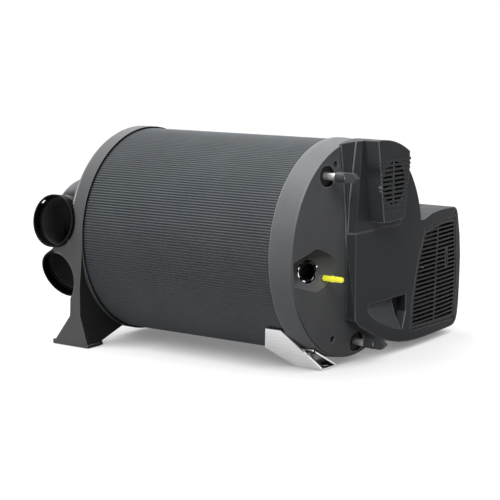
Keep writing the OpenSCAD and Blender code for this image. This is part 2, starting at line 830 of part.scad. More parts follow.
module fan_housing() {
    color("dimgray") difference() {
        intersection() {
            union() {
                slab(face_x - 2, front_x + 5) polygon(box_outline);
                slab(back_x, face_x) beside_barrel(0);
                slab(face_x - 2, front_x + 5) difference() {
                    upper_outline(ring_r + 5, seam_h - 4, 0);
                    translate([-100, seam_h]) square([100 + cover_right, 300]);
                }
                difference() {
                    slab(face_x - 2, front_x) upper_outline(cover_right, seam_h - 4, 0);
                    above_parting(0);
                }
            }
            bow(0);
        }
        left_of_slopes(0);
        end_cover_shape(fit);
        // hollow of the lower box
        difference() {
            intersection() {
                union() {
                    slab(face_x - 5, front_x) polygon(inset(box_outline, box_wall));
                    slab(back_x - eps, face_x + 5) beside_barrel(box_wall);
                }
                bow(box_wall);
            }
            left_of_slopes(box_wall);
            grip_pocket(box_wall - 0.5);
            for (s = housing_screw_places) rod(front_x - 24, front_x, 5, s);
            drum(back_x - eps, face_x - 4, ring_r + barrel_gap + box_wall);
        }
        grip_pocket(0);
        // hollow of the shoulder
        intersection() {
            slab(face_x - 5, front_x) difference() {
                upper_outline(ring_r, seam_h, box_wall);
                translate([-100, 0]) square([100 + cover_right + box_wall, 300]);
            }
            bow(box_wall);
        }
        // tray under the electronics cover
        difference() {
            union() {
                slab(face_x + part_low, front_x + 5) upper_outline(cover_right, seam_h, box_wall);
                slab(face_x - 5, face_x + part_low - tray_t) upper_outline(cover_right, seam_h, box_wall);
            }
            left_of_slopes(box_wall);
        }
        // opening for the intake grille, with a groove round it
        slab(face_x - 5, front_x + 5) polygon(inset(grille_outline, -lift_gap));
        difference() {
            slab(face_x - 5, front_x + 5) polygon(inset(grille_outline, -groove_w));
            bow(groove_w * 2);
        }
        for (s = housing_screw_places) {
            rod(housing_screw_x(s) - 2.5, front_x + 5, 3.4, s);
            rod(housing_screw_x(s) - 14, front_x, 1.6 + fit, s);
        }
    }
    color("dimgray") board_posts();
}

// Corner screws of the box, and the place of each one's head under the bowed front
housing_screw_places = [[box_right - 20, 22.5], [box_right - 20, -134.5]];
function housing_screw_x(s) = front_x - pow(s[0] - bow_y, 2) / (2 * bow_r) - 0.8;

module housing_screws() {
    color("black") for (s = housing_screw_places) screw(housing_screw_x(s), s, 1.6, 3, 2.4, 12);
}

module board_posts() {
    for (y = [board_low[0] + 6, board_high[0] - 6], z = [board_low[1] + 6, board_high[1] - 6])
        rod(face_x + part_low - 0.5, board_x, post_r, [y, z]);
}

module fan_back_plate() {
    color("dimgray") difference() {
        slab(back_x - box_wall, back_x) beside_barrel(0);
        fan_back_screw_set(fit);
    }
}

module fan_back_screw_set(gap) {
    places = [[box_right - 12, -20], [box_right - 12, -100], [ring_r + 30, -box_drop + 14],
        [ring_r + 50, 22]];
    for (s = places)
        translate([0, s[0], axis_h + s[1]]) rotate([0, 90, 0]) {
            translate([0, 0, back_x - box_wall - 2.2]) cylinder(h = 2.2, r = 3);
            translate([0, 0, back_x - box_wall]) cylinder(h = 8, r = 1.5 + gap);
        }
}

module fan_back_screws() {
    color("silver") fan_back_screw_set(0);
}

module fan_scroll() {
    pos = [fan_y, fan_dz];
    color("black") difference() {
        rod(back_x, back_x + scroll_len, scroll_r + scroll_wall, pos);
        rod(back_x - eps, back_x + scroll_len - scroll_wall, scroll_r, pos);
        rod(back_x, back_x + scroll_len + eps, fan_r - 10, pos);
        translate([back_x + 34, fan_y - 80, axis_h + fan_dz - 5]) cube([scroll_len - 38, 60, 46]);
    }
}

module fan_motor() {
    pos = [fan_y, fan_dz];
    color("silver") difference() {
        rod(back_x, back_x + fan_motor_len, fan_motor_r, pos);
        rod(back_x + 8, back_x + fan_motor_len + eps, fan_shaft_r + running, pos);
    }
}

module fan_shaft() {
    color("gray") rod(back_x + 9, impeller_x + fan_w - 4, fan_shaft_r, [fan_y, fan_dz]);
}

module fan_impeller() {
    pos = [fan_y, fan_dz];
    blade_t = 1.4;
    blade_w = 11;
    color("black") difference() {
        union() {
            rod(impeller_x, impeller_x + 2.5, fan_r, pos);
            rod(impeller_x, impeller_x + 16, fan_shaft_r + 5, pos);
            difference() {
                rod(impeller_x + fan_w - 2, impeller_x + fan_w, fan_r, pos);
                rod(impeller_x, impeller_x + fan_w + eps, fan_r - blade_w, pos);
            }
            for (i = [0 : fan_blades - 1])
                translate([impeller_x + 1, fan_y, axis_h + fan_dz])
                    rotate([(i + 0.5) * 360 / fan_blades, 0, 0])
                        translate([0, fan_r - blade_w + 0.6, 0]) rotate([18, 0, 0])
                            translate([0, 0, -blade_t]) cube([fan_w - 2, blade_w - 2, blade_t]);
        }
        rod(impeller_x - eps, impeller_x + fan_w + eps, fan_shaft_r + 0.02, pos);
    }
}

module intake_grille() {
    low = -131;
    rows = floor((14 - low) / slat_pitch);
    divider = [[ring_r + 39, -140], [ring_r + 42.5, -140], [ring_r + 55, 20], [ring_r + 51.5, 20]];
    latch = [ring_r + 81, -50];
    color("black") difference() {
        intersection() {
            slab(face_x - 12, front_x + 5) polygon(grille_outline);
            bow(0.8);
        }
        bow(0.8 + grille_t);
        difference() {
            slab(face_x - 12, front_x + 5) intersection() {
                polygon(inset(grille_outline, grille_rim));
                for (i = [1 : rows])
                    translate([0, low + i * slat_pitch]) square([600, grille_slot]);
            }
            slab(face_x - 14, front_x + 6) {
                polygon(divider);
                translate(latch - [4, 4]) square([9, 30]);
            }
        }
        slab(face_x - 12, front_x + 5) translate(latch) square([2, 20]);
    }
}

module control_board() {
    size = board_high - board_low;
    chips = [[18, 12, 14, 12, 3], [34, 14, 12, 22, 8], [14, 34, 22, 14, 10],
        [44, 40, 12, 12, 14], [12, 58, 14, 12, 6]];
    color("darkgreen") translate([board_x, board_low[0], axis_h + board_low[1]]) {
        cube([board_t, size[0], size[1]]);
        for (c = chips) translate([board_t - 0.1, c[0], c[1]]) cube([c[4], c[2], c[3]]);
    }
}

module terminal_block() {
    ways = 4;
    color("ivory") for (i = [0 : ways - 1])
        translate([board_x + board_t, board_low[0] + 30 + i * 8, axis_h + board_high[1] - 22]) difference() {
            cube([12, 7.6, 14]);
            translate([3, 1.6, 3]) cube([10, 4.4, 8]);
        }
}

// Outside of the electronics cover, moved in by d
module electronics_shape(d) {
    difference() {
        intersection() {
            slab(face_x, front_x) upper_outline(cover_right, seam_h, d);
            bow(d);
        }
        left_of_slopes(d);
    }
    slab(face_x, panel_x - d) intersection() {
        circle(r = ring_r - d);
        polygon(inset(panel_outline, d));
    }
}

module electronics_cover() {
    wall = box_wall - 0.5;
    centre = [32, 88];
    slots = floor(2 * louvre_r / slat_pitch);
    color("dimgray") difference() {
        intersection() {
            electronics_shape(0);
            above_parting(parting_gap);
            slab(face_x, panel_x + eps) upper_outline(cover_right, seam_h, lift_gap);
        }
        electronics_shape(wall);
        slab(panel_x - 2 * wall, panel_x + eps) difference() {
            intersection() {
                translate(centre) circle(r = louvre_r);
                for (i = [0 : slots])
                    translate(centre + [-louvre_r, (i - slots / 2) * slat_pitch - louvre_slot / 2])
                        square([2 * louvre_r, louvre_slot]);
            }
            translate([centre[0] - 2, centre[1] - louvre_r]) square([3, 2 * louvre_r]);
        }
    }
}

// Length of a foot plate from its tangent line on the barrel down to the floor
function plate_len(angle) = (axis_h + (ring_r + fit) * cos(angle)) / sin(angle);
function plate_floor_y(angle) = -(ring_r + fit) * sin(angle) - plate_len(angle) * cos(angle);

// A foot plate that lies along the barrel at an angle from the top
module foot_plate(angle, outline) {
    translate([0, 0, axis_h]) rotate([angle, 0, 0]) translate([0, 0, ring_r + fit])
        linear_extrude(foot_t) polygon(outline);
}

module metal_foot() {
    end_x = face_x - 4;
    heel_x = end_x - foot_len;
    front = plate_len(foot_front_angle);
    rear = plate_len(foot_rear_angle);
    front_plate = [[heel_x - 23, 0], [heel_x + 1, 0], [end_x - 1, -front + 5], [end_x, -front - 5],
        [heel_x, -front - 5], [heel_x - 43, -front + 34]];
    rear_plate = [[heel_x, 9], [end_x - 6, 9], [end_x, -rear + 10], [end_x, -rear - 5], [heel_x, -rear - 5]];
    y0 = plate_floor_y(foot_front_angle);
    y1 = plate_floor_y(foot_rear_angle);
    color("gainsboro") difference() {
        intersection() {
            union() {
                foot_plate(foot_front_angle, front_plate);
                foot_plate(foot_rear_angle, rear_plate);
                translate([heel_x, y0 - 2, 0]) cube([foot_len, y1 - y0 + 2, foot_t]);
            }
            translate([0, -200, 0]) cube([face_x, 400, axis_h]);
        }
        for (x = [-1, 1])
            translate([end_x - foot_len / 2 + x * foot_hole_pitch / 2, (y0 + y1) / 2, -eps])
                cylinder(h = foot_t + 2 * eps, r = foot_hole_r);
        foot_screw_set(fit);
    }
}

// Two screws through the rear plate into the band
module foot_screw_set(gap) {
    for (x = [band_x + 14, band_x + 24])
        translate([x, 0, axis_h]) rotate([foot_rear_angle, 0, 0]) {
            translate([0, 4, ring_r - 7]) cylinder(h = 7 + fit + foot_t, r = 1.6 + gap);
            translate([0, 4, ring_r + fit + foot_t]) cylinder(h = 2, r = 3 + gap);
        }
}

module foot_screws() {
    color("silver") foot_screw_set(0);
}

jacket();
insulation_sleeve();
outlet_ring();
air_distributor();
outlet_spigot(-1, outlets[0]);  // outlet_spigot_front_upper
outlet_spigot(-1, outlets[1]);  // outlet_spigot_front_lower
outlet_spigot(1, outlets[0]);  // outlet_spigot_rear_upper
outlet_spigot(1, outlets[1]);  // outlet_spigot_rear_lower
distributor_screws();
water_tank();
heat_exchanger();
burner_tube();
burner_head();
glow_plug();
blower_housing();
blower_motor();
blower_shaft();
blower_impeller();
tank_sensor();
overheat_switch();
end_cover();
end_cover_screws();
water_pipe(hot_pos);  // hot_water_pipe
water_pipe(cold_pos);  // cold_water_pipe
pipe_grommet(hot_pos);  // hot_pipe_grommet
pipe_grommet(cold_pos);  // cold_pipe_grommet
pipe_cap(hot_pos);  // hot_pipe_cap
pipe_cap(cold_pos);  // cold_pipe_cap
fuel_pipe();
fuel_pipe_cap();
exhaust_port();
exhaust_clip();
fan_housing();
fan_back_plate();
fan_back_screws();
fan_scroll();
fan_motor();
fan_shaft();
fan_impeller();
intake_grille();
control_board();
terminal_block();
electronics_cover();
housing_screws();
metal_foot();
foot_screws();
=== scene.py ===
import math

import bmesh
import bpy
from mathutils import Matrix, Vector


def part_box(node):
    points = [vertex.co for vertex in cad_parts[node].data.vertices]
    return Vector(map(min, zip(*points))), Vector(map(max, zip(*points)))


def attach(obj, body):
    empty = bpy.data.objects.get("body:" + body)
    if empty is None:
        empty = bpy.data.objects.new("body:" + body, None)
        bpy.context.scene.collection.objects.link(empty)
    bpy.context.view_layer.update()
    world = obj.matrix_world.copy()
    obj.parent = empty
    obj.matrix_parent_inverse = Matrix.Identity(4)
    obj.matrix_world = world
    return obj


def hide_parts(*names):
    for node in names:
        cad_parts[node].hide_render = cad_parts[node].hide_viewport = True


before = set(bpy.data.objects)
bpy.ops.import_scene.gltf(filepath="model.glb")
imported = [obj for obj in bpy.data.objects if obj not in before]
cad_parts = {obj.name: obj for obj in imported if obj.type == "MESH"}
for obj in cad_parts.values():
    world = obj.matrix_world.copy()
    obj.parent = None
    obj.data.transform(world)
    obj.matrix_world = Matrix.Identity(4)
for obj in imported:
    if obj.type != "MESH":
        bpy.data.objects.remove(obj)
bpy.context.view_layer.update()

# Camera, floor and light. The heater stands on a plain white studio floor and is seen from its
# connection end, a little from above. A broad soft light hangs over the barrel. Four weaker ones
# fill from the left, the front and behind, so the faces with the pipes and the box stay darker.
scene = bpy.context.scene
scene.view_settings.view_transform = "Standard"


def into_scene(name, data):
    thing = bpy.data.objects.new(name, data)
    scene.collection.objects.link(thing)
    return thing


def point_at(thing, at, aim):
    thing.location = at
    thing.rotation_euler = (Vector(aim) - Vector(at)).to_track_quat("-Z", "Y").to_euler()


lens = bpy.data.cameras.new("camera")
lens.sensor_width = 36.0
lens.lens = 114.4
camera = into_scene("camera", lens)
point_at(camera, at=(1.5074, -1.7665, 0.4757), aim=(0.2221, 0.0, 0.1363))
scene.camera = camera


def add_node(tree, kind, **values):
    node = tree.nodes.new(kind)
    for socket, value in values.items():
        node.inputs[socket.replace("_", " ")].default_value = value
    return node


def join_up(tree, *pairs):
    for source, target in pairs:
        tree.links.new(source, target)


def feed(tree, node, values):
    # each value is a plain number or another node's output
    for socket, value in zip(node.inputs, values):
        if isinstance(value, (int, float)):
            socket.default_value = value
        else:
            tree.links.new(value, socket)
    return node.outputs[0]


def maths(tree, operation, *values):
    node = tree.nodes.new("ShaderNodeMath")
    node.operation = operation
    return feed(tree, node, values)


def map_range(tree, value, from_low, from_high, to_low=0.0, to_high=1.0):
    span = add_node(tree, "ShaderNodeMapRange", From_Min=from_low, From_Max=from_high,
                    To_Min=to_low, To_Max=to_high)
    join_up(tree, (value, span.inputs["Value"]))
    return span.outputs["Result"]


def openness(tree, reach, samples, inside=False):
    shelter = add_node(tree, "ShaderNodeAmbientOcclusion", Distance=reach)
    shelter.samples = samples
    shelter.inside = shelter.only_local = inside
    return shelter.outputs["AO"]


def finish(name, **values):
    mat = bpy.data.materials.new(name)
    mat.use_nodes = True
    skin = mat.node_tree.nodes["Principled BSDF"]
    for socket, value in values.items():
        skin.inputs[socket.replace("_", " ")].default_value = value
    return mat, mat.node_tree, skin


def background_rays(tree):
    path = add_node(tree, "ShaderNodeLightPath").outputs
    seen = maths(tree, "MAXIMUM", path["Is Camera Ray"], path["Is Glossy Ray"])
    return maths(tree, "MAXIMUM", seen, path["Is Transmission Ray"])


floor_reach, floor_z = 40.0, -0.0006
floor_corners = [(-1, -1), (1, -1), (1, 1), (-1, 1)]
floor_mesh = bpy.data.meshes.new("floor")
floor_mesh.from_pydata([(x * floor_reach, y * floor_reach, floor_z) for x, y in floor_corners],
                       [], [(0, 1, 2, 3)])
floor = into_scene("floor", floor_mesh)
floor_white, tree, paper = finish("floor_white", Base_Color=(0.20, 0.20, 0.203, 1), Roughness=0.9,
                                  Specular_IOR_Level=0.1)
# painted shadow: the floor's white glow is dimmed near the heater, a tight contact shadow and a
# wider halo
contact_reach, halo_reach, shadow_samples = 0.075, 0.35, 16
contact = map_range(tree, openness(tree, contact_reach, shadow_samples), 0.08, 0.55, 0.26, 1.0)
halo = map_range(tree, openness(tree, halo_reach, shadow_samples), 0.5, 0.98, 0.78, 1.0)
shadow = maths(tree, "MULTIPLY", contact, halo)
glow = add_node(tree, "ShaderNodeEmission")
both = add_node(tree, "ShaderNodeAddShader")
join_up(tree, (maths(tree, "MULTIPLY", shadow, background_rays(tree)), glow.inputs["Strength"]),
        (paper.outputs[0], both.inputs[0]), (glow.outputs[0], both.inputs[1]),
        (both.outputs[0], tree.nodes["Material Output"].inputs["Surface"]))
floor_mesh.materials.append(floor_white)

pure_white, room_light = (1, 1, 1, 1), 0.02
world = bpy.data.worlds.new("studio")
world.use_nodes = True
tree = world.node_tree
dim = tree.nodes["Background"]
dim.inputs["Color"].default_value = pure_white
dim.inputs["Strength"].default_value = room_light
backdrop = add_node(tree, "ShaderNodeBackground", Color=pure_white, Strength=1.0)
choose = add_node(tree, "ShaderNodeMixShader")
join_up(tree, (background_rays(tree), choose.inputs["Fac"]), (dim.outputs[0], choose.inputs[1]),
        (backdrop.outputs[0], choose.inputs[2]),
        (choose.outputs[0], tree.nodes["World Output"].inputs["Surface"]))
scene.world = world


def soft_light(name, at, aim, size, watts):
    lamp = bpy.data.lights.new(name, "AREA")
    lamp.shape = "RECTANGLE"
    lamp.size, lamp.size_y = size
    lamp.energy = watts
    point_at(into_scene(name, lamp), at, aim)


soft_light("overhead", at=(-0.3, -0.2, 2.0), aim=(0.1, 0, 0.2), size=(1.1, 1.1), watts=50)
soft_light("low_left", at=(0.0, -1.8, 0.15), aim=(0.2, 0, 0.1), size=(1.2, 0.3), watts=9)
soft_light("front_high", at=(1.9, -0.5, 1.9), aim=(0.3, 0, 0.15), size=(0.9, 0.9), watts=5)
soft_light("front_left", at=(0.80, -0.60, 0.85), aim=(0.4, -0.02, 0.2), size=(0.4, 0.4), watts=2.4)
soft_light("behind", at=(-0.9, 1.2, 1.5), aim=(0.2, 0.05, 0.15), size=(0.9, 0.9), watts=10)


# Boiler core. A finned aluminium heat exchanger round a heat-tinted burner tube, inside a drawn
# stainless water tank. The burner head is a casting bolted to the tank's end, with a glow plug.
def object_place(tree):
    return add_node(tree, "ShaderNodeTexCoord").outputs["Object"]


def axes_of(tree, vector):
    along = add_node(tree, "ShaderNodeSeparateXYZ")
    join_up(tree, (vector, along.inputs[0]))
    return along.outputs


def noise_on(tree, scale, detail=3.0, stretch=(1, 1, 1)):
    size = add_node(tree, "ShaderNodeMapping", Scale=stretch)
    cloud = add_node(tree, "ShaderNodeTexNoise", Scale=scale, Detail=detail)
    join_up(tree, (object_place(tree), size.inputs["Vector"]),
            (size.outputs[0], cloud.inputs["Vector"]))
    return cloud.outputs["Fac"]


def tones(tree, value, stops, target):
    ramp = add_node(tree, "ShaderNodeValToRGB")
    marks = ramp.color_ramp.elements
    while len(marks) < len(stops):
        marks.new(0.5)
    for mark, (at, colour) in zip(marks, stops):
        mark.position = at
        mark.color = (*colour, 1)
    join_up(tree, (value, ramp.inputs["Fac"]), (ramp.outputs["Color"], target))


def gloss_range(tree, value, low, high, target):
    join_up(tree, (map_range(tree, value, 0.3, 0.7, low, high), target))


def relief(tree, value, depth, target, under=None):
    bump = add_node(tree, "ShaderNodeBump", Strength=0.6, Distance=depth)
    join_up(tree, (value, bump.inputs["Height"]), (bump.outputs["Normal"], target))
    if under:
        join_up(tree, (under, bump.inputs["Normal"]))


def shade(colour, factor):
    return tuple(min(1.0, c * factor) for c in colour)


def drawn_metal(name, colour, rough, stretch, blotch=18.0, metallic=1.0):
    mat, tree, skin = finish(name, Metallic=metallic)
    streak_share = 0.45
    streaks = noise_on(tree, 1.0, 3.0, stretch)
    stains = maths(tree, "MULTIPLY", noise_on(tree, blotch, 4.0), 1 - streak_share)
    tones(tree, maths(tree, "MULTIPLY_ADD", streaks, streak_share, stains),
          [(0.3, shade(colour, 0.78)), (0.7, colour)], skin.inputs["Base Color"])
    gloss_range(tree, streaks, rough - 0.07, rough + 0.09, skin.inputs["Roughness"])
    relief(tree, streaks, 0.00004, skin.inputs["Normal"])
    return mat


def cast_metal(name, colour, rough):
    mat, tree, skin = finish(name, Metallic=1.0)
    grain = noise_on(tree, 700.0, 4.0)
    stains = noise_on(tree, 30.0, 5.0)
    tones(tree, stains, [(0.3, shade(colour, 0.7)), (0.7, colour)], skin.inputs["Base Color"])
    gloss_range(tree, grain, rough - 0.1, rough + 0.1, skin.inputs["Roughness"])
    relief(tree, grain, 0.0006, skin.inputs["Normal"])
    return mat


def dress(mat, *names):
    for name in names:
        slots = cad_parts[name].data.materials
        slots.clear()
        slots.append(mat)


dress(drawn_metal("tank_steel", (0.62, 0.62, 0.60), rough=0.30, stretch=(900, 25, 25)),
      "water_tank")
dress(cast_metal("exchanger_aluminium", (0.58, 0.58, 0.59), rough=0.42), "heat_exchanger")
dress(cast_metal("burner_head_casting", (0.42, 0.42, 0.43), rough=0.5), "burner_head")
dress(drawn_metal("glow_plug_nickel", (0.66, 0.64, 0.58), rough=0.25, stretch=(60, 900, 900)),
      "glow_plug")

straw, purple, blue = (0.52, 0.38, 0.18), (0.22, 0.16, 0.26), (0.12, 0.16, 0.28)
tint_wander = 0.35
burner_low, burner_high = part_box("burner_tube")
heat_tint, tree, skin = finish("burner_heat_tint", Metallic=1.0)
run = map_range(tree, axes_of(tree, object_place(tree))["X"], burner_low.x, burner_high.x)
wander = noise_on(tree, 24.0, 4.0)
tones(tree, maths(tree, "MULTIPLY_ADD", wander, tint_wander, run),
      [(0.1, (0.50, 0.49, 0.47)), (0.45, straw), (0.7, purple), (1.0, blue)],
      skin.inputs["Base Color"])
gloss_range(tree, wander, 0.3, 0.5, skin.inputs["Roughness"])
dress(heat_tint, "burner_tube")

# Sensors on the tank's end. A turned brass temperature probe, and an overheat switch in black
# moulded resin. Both are clipped to the tank wall beside the burner head.
brass, tree, skin = finish("probe_brass", Metallic=1.0)
turning = noise_on(tree, 1.0, 2.0, (2600, 30, 30))
tones(tree, turning, [(0.3, (0.46, 0.30, 0.10)), (0.7, (0.68, 0.47, 0.18))],
      skin.inputs["Base Color"])
gloss_range(tree, turning, 0.22, 0.40, skin.inputs["Roughness"])
dress(brass, "tank_sensor")
resin, tree, skin = finish("switch_resin")
specks = noise_on(tree, 1400.0, 2.0)
tones(tree, specks, [(0.35, (0.012, 0.011, 0.010)), (0.75, (0.035, 0.032, 0.030))],
      skin.inputs["Base Color"])
gloss_range(tree, specks, 0.35, 0.55, skin.inputs["Roughness"])
dress(resin, "overheat_switch")

# Insulation. A sleeve of white bead foam between the tank and the jacket. Its beads show as small
# cells with fine dark borders where they are pressed together.
foam, tree, skin = finish("bead_foam", Roughness=0.85)
beads = add_node(tree, "ShaderNodeTexVoronoi", Scale=260.0)
beads.feature = "DISTANCE_TO_EDGE"
join_up(tree, (object_place(tree), beads.inputs["Vector"]))
border = map_range(tree, beads.outputs["Distance"], 0.0, 0.12)
tones(tree, border, [(0.0, (0.52, 0.52, 0.50)), (1.0, (0.78, 0.78, 0.76))],
      skin.inputs["Base Color"])
relief(tree, border, 0.0004, skin.inputs["Normal"])
dress(foam, "insulation_sleeve")


# Combustion blower. A black glass-filled housing on the burner head, a plated motor can, a ground
# shaft and a pressed aluminium wheel.
def glass_filled(name, colour, rough):
    mat, tree, skin = finish(name, Specular_IOR_Level=0.4)
    fibres = noise_on(tree, 1.0, 3.0, (300, 1500, 1500))
    clouds = noise_on(tree, 25.0, 3.0)
    tones(tree, clouds, [(0.3, shade(colour, 0.8)), (0.7, shade(colour, 1.25))],
          skin.inputs["Base Color"])
    gloss_range(tree, fibres, rough - 0.1, rough + 0.1, skin.inputs["Roughness"])
    relief(tree, fibres, 0.0001, skin.inputs["Normal"])
    return mat


def plated_can(name, colour, rough):
    mat, tree, skin = finish(name, Metallic=1.0)
    spangle = add_node(tree, "ShaderNodeTexVoronoi", Scale=180.0)
    tint = add_node(tree, "ShaderNodeSeparateColor")
    join_up(tree, (object_place(tree), spangle.inputs["Vector"]),
            (spangle.outputs["Color"], tint.inputs[0]))
    tones(tree, tint.outputs[0], [(0.0, shade(colour, 0.8)), (1.0, colour)],
          skin.inputs["Base Color"])
    gloss_range(tree, tint.outputs[1], rough - 0.05, rough + 0.1, skin.inputs["Roughness"])
    return mat


def ground_shaft(name):
    return drawn_metal(name, (0.66, 0.66, 0.66), rough=0.18, stretch=(2500, 20, 20))


dress(glass_filled("blower_black", (0.016, 0.016, 0.017), rough=0.5), "blower_housing")
dress(plated_can("blower_motor_zinc", (0.60, 0.61, 0.63), rough=0.32), "blower_motor")
dress(ground_shaft("blower_shaft_steel"), "blower_shaft")
dress(drawn_metal("blower_wheel_aluminium", (0.70, 0.71, 0.72), rough=0.35,
                  stretch=(40, 400, 400)), "blower_impeller")


# Jacket. A foamed plastic sleeve round the boiler, moulded with fine ribs along its length and
# pushed into the rings at both ends. The ribs follow one rule, so a node tree makes them.
def vector_maths(tree, operation, vector):
    node = tree.nodes.new("ShaderNodeVectorMath")
    node.operation = operation
    join_up(tree, (vector, node.inputs[0]))
    return node


def scale_colour(tree, colour, factor, target):
    scaled = vector_maths(tree, "SCALE", colour)
    join_up(tree, (factor, scaled.inputs["Scale"]), (scaled.outputs[0], target))


def mix_into(tree, factor, second):
    # gives the socket for the first colour, and the mixed colour
    mix = add_node(tree, "ShaderNodeMix")
    mix.data_type = "RGBA"
    mix.inputs[7].default_value = (*second, 1)
    join_up(tree, (factor, mix.inputs[0]))
    return mix.inputs[6], mix.outputs[2]


def moulded_plastic(name, colour, rough, grain=0.0007, grain_depth=0.00012, edge=0.0012,
                    edge_light=0.5, highlight_gain=2.2, soft=0.0, spec=0.5, crevice=0.004, shade_darkest=0.4,
                    shelter=(0.35, 0.9)):
    # soft, or else edge, rounds the edges; within edge a painted highlight lifts them to gain times
    # the colour;
    # a painted shade darkens the colour, to its darkest share, where something within crevice
    # shelters the surface
    mat, tree, skin = finish(name, Specular_IOR_Level=spec)
    edge_samples, painted_light_samples = 6, 8
    highlight_start, highlight_full, highlight_lift = 0.97, 0.55, 0.04
    clouds = noise_on(tree, 14.0, 4.0)
    grains = noise_on(tree, 1.0 / grain, 2.0)
    round_edge = add_node(tree, "ShaderNodeBevel", Radius=soft or edge)
    round_edge.samples = edge_samples
    relief(tree, grains, grain_depth, skin.inputs["Normal"], round_edge.outputs["Normal"])
    # painted highlight: near convex edges the colour is lightened towards a brighter copy of itself
    painted_edge_highlight = map_range(tree, openness(tree, edge, painted_light_samples, inside=True),
                     highlight_start, highlight_full, 0.0, edge_light)
    bare, highlighted_skin = mix_into(tree, painted_edge_highlight, [min(1.0, c * highlight_gain + highlight_lift) for c in colour])
    tones(tree, clouds, [(0.3, shade(colour, 0.92)), (0.7, shade(colour, 1.08))], bare)
    # painted shade: the colour is darkened where other surfaces stand close by
    painted_shade = map_range(tree, openness(tree, crevice, painted_light_samples), *shelter, shade_darkest, 1.0)
    scale_colour(tree, highlighted_skin, painted_shade, skin.inputs["Base Color"])
    gloss_range(tree, grains, rough - 0.06, rough + 0.06, skin.inputs["Roughness"])
    return mat


def geometry_tree(name):
    tree = bpy.data.node_groups.new(name, "GeometryNodeTree")
    tree.interface.new_socket(name="Geometry", in_out="OUTPUT", socket_type="NodeSocketGeometry")
    return tree


def group_socket(tree, name, value=None, kind="NodeSocketFloat"):
    socket = tree.interface.new_socket(name=name, in_out="INPUT", socket_type=kind)
    if value is not None:
        socket.default_value = value
    return socket.identifier


def end_tree(tree, geometry):
    # closes the tree, and gives the socket for its material
    whole = tree.nodes.new("GeometryNodeRealizeInstances")
    paint = tree.nodes.new("GeometryNodeSetMaterial")
    out = tree.nodes.new("NodeGroupOutput")
    join_up(tree, (geometry, whole.inputs[0]), (whole.outputs[0], paint.inputs[0]),
            (paint.outputs[0], out.inputs[0]))
    return paint.inputs["Material"]


def made_by_nodes(name, tree, settings, points=()):
    start = bpy.data.meshes.new(name + "_maker")
    start.from_pydata(points, [], [])
    holder = into_scene(name + "_maker", start)
    maker = holder.modifiers.new("maker", "NODES")
    maker.node_group = tree
    for socket, value in settings.items():
        maker[socket] = value
    graph = bpy.context.evaluated_depsgraph_get()
    mesh = bpy.data.meshes.new_from_object(holder.evaluated_get(graph))
    mesh.name = name
    bpy.data.objects.remove(holder)
    return into_scene(name, mesh)


# painted shade deepens the rib grooves and the jacket just beside each ring
jacket_grey = moulded_plastic("jacket_grey", (0.094, 0.104, 0.112), rough=0.55, grain=0.0012,
                              grain_depth=0.00003, edge=0.0002, edge_light=0.0, spec=0.15,
                              shade_darkest=0.1, shelter=(0.4, 0.95))
jacket_low, jacket_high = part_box("jacket")
axis_h = (jacket_low.z + jacket_high.z) / 2
jacket_r = (jacket_high.z - jacket_low.z) / 2
jacket_length = jacket_high.x - jacket_low.x
jacket_middle = (jacket_low.x + jacket_high.x) / 2
rib_total, points_per_rib, rib_dip = 240, 8, 0.0013
quarter = math.pi / 2

tree = geometry_tree("ribbed_sleeve")
rib_count = group_socket(tree, "Rib count", 240.0)
rib_depth = group_socket(tree, "Rib depth", 0.001)
sleeve_r = group_socket(tree, "Radius", 0.1445)
sleeve_len = group_socket(tree, "Length", 0.338)
sizes = tree.nodes.new("NodeGroupInput").outputs
sleeve = add_node(tree, "GeometryNodeMeshCylinder", Vertices=rib_total * points_per_rib)
sleeve.fill_type = "NONE"
spot = tree.nodes.new("GeometryNodeInputPosition").outputs[0]
axes = axes_of(tree, spot)
angle = maths(tree, "ARCTAN2", axes["Y"], axes["X"])
wave = maths(tree, "COSINE", maths(tree, "MULTIPLY", angle, sizes["Rib count"]))
dip = maths(tree, "MULTIPLY", maths(tree, "MULTIPLY_ADD", wave, 0.5, -0.5), sizes["Rib depth"])
flat = vector_maths(tree, "MULTIPLY", spot)
flat.inputs[1].default_value = (1, 1, 0)
outward = vector_maths(tree, "NORMALIZE", flat.outputs[0])
push = vector_maths(tree, "SCALE", outward.outputs[0])
move = tree.nodes.new("GeometryNodeSetPosition")
smooth = tree.nodes.new("GeometryNodeSetShadeSmooth")
join_up(tree, (sizes["Radius"], sleeve.inputs["Radius"]), (sizes["Length"], sleeve.inputs["Depth"]),
        (dip, push.inputs["Scale"]), (push.outputs[0], move.inputs["Offset"]),
        (sleeve.outputs["Mesh"], move.inputs["Geometry"]), (move.outputs[0], smooth.inputs[0]))
end_tree(tree, smooth.outputs[0]).default_value = jacket_grey
ribbed_jacket = made_by_nodes("ribbed_jacket", tree, {
    rib_count: float(rib_total), rib_depth: rib_dip, sleeve_r: jacket_r, sleeve_len: jacket_length})
ribbed_jacket.data.transform(Matrix.Translation((jacket_middle, 0, axis_h))
                             @ Matrix.Rotation(quarter, 4, "Y"))
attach(ribbed_jacket, "case")
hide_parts("jacket")


# Outlet ring. One moulding in dark grey plastic that takes the jacket's end and runs down into
# two flared legs, each screwed to the floor through its sole. Its faces turned towards the jacket
# are darkened to near black, a painted shade.
def normal_axes(tree):
    return axes_of(tree, add_node(tree, "ShaderNodeNewGeometry").outputs["True Normal"])


def paint_light_by_facing(mat, axis, start, full, factor):
    # painted light and shade: the colour is scaled by how far the face turns along the axis
    tree = mat.node_tree
    colour = tree.nodes["Principled BSDF"].inputs["Base Color"]
    share = map_range(tree, normal_axes(tree)[axis], start, full, 1.0, factor)
    scale_colour(tree, colour.links[0].from_socket, share, colour)


ring_grey = moulded_plastic("ring_grey", (0.114, 0.116, 0.119), rough=0.52, edge_light=0.6,
                            spec=0.15)
# painted shade: faces turned towards the jacket are darkened to a fifth
paint_light_by_facing(ring_grey, "X", start=0.55, full=0.95, factor=0.2)
dress(ring_grey, "outlet_ring")
